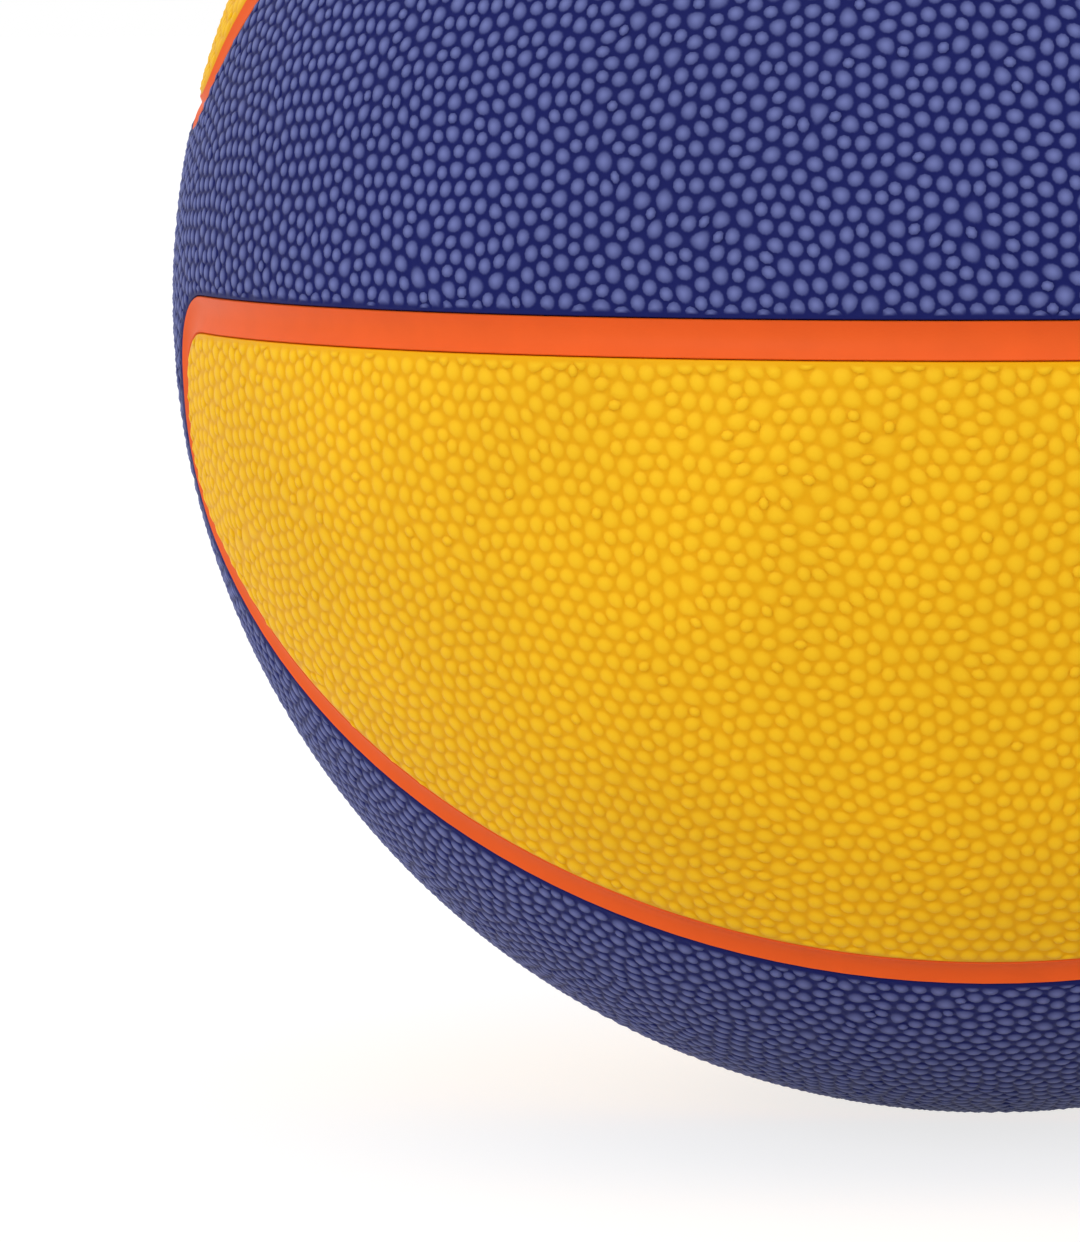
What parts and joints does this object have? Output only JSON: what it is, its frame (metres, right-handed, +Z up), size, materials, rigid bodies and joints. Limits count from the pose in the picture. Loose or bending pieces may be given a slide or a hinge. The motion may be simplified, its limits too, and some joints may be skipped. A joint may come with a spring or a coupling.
{
  "type": "basketball",
  "caption": "Inflatable basketball with pebbled yellow and blue composite leather panels running side to side, orange rubber channels, foam, carcass, winding, bladder and valve.",
  "frame": {"origin": "centre of the ball", "axes": "+Z up, -Y is the front that the picture shows, X runs through the two hubs where the panels narrow"},
  "size_m": [0.231, 0.2308, 0.2302],
  "materials": {
    "yellow_leather": "pebbled, satin",
    "blue_leather": "pebbled, satin",
    "orange_rubber": "smooth, satin",
    "sponge_foam": "matte sponge",
    "carcass_rubber": "matte",
    "nylon_thread": "wound thread",
    "butyl_rubber": "smooth",
    "patch_rubber": "matte",
    "valve_rubber": "satin",
    "plug_rubber": "satin"
  },
  "bodies": {
    "ball": {"yellow_panel_front": "yellow_leather", "yellow_panel_top": "yellow_leather", "yellow_panel_back": "yellow_leather", "yellow_panel_bottom": "yellow_leather", "blue_panel_front": "blue_leather", "blue_panel_top": "blue_leather", "blue_panel_back": "blue_leather", "blue_panel_bottom": "blue_leather", "yellow_foam_front": "sponge_foam", "yellow_foam_top": "sponge_foam", "yellow_foam_back": "sponge_foam", "yellow_foam_bottom": "sponge_foam", "blue_foam_front": "sponge_foam", "blue_foam_top": "sponge_foam", "blue_foam_back": "sponge_foam", "blue_foam_bottom": "sponge_foam", "channel_strip_front": "orange_rubber", "channel_strip_top": "orange_rubber", "channel_strip_back": "orange_rubber", "channel_strip_bottom": "orange_rubber", "carcass": "carcass_rubber", "thread_winding": "nylon_thread", "bladder": "butyl_rubber", "valve_patch": "patch_rubber", "valve_housing": "valve_rubber"},
    "plug": {"valve_plug": "plug_rubber"}
  },
  "joints": [
    {"name": "plug_slide", "type": "slide", "parent": "ball", "child": "plug", "axis": [0, 0.9096, -0.4155], "range_m": [0, 0.022]}
  ]
}
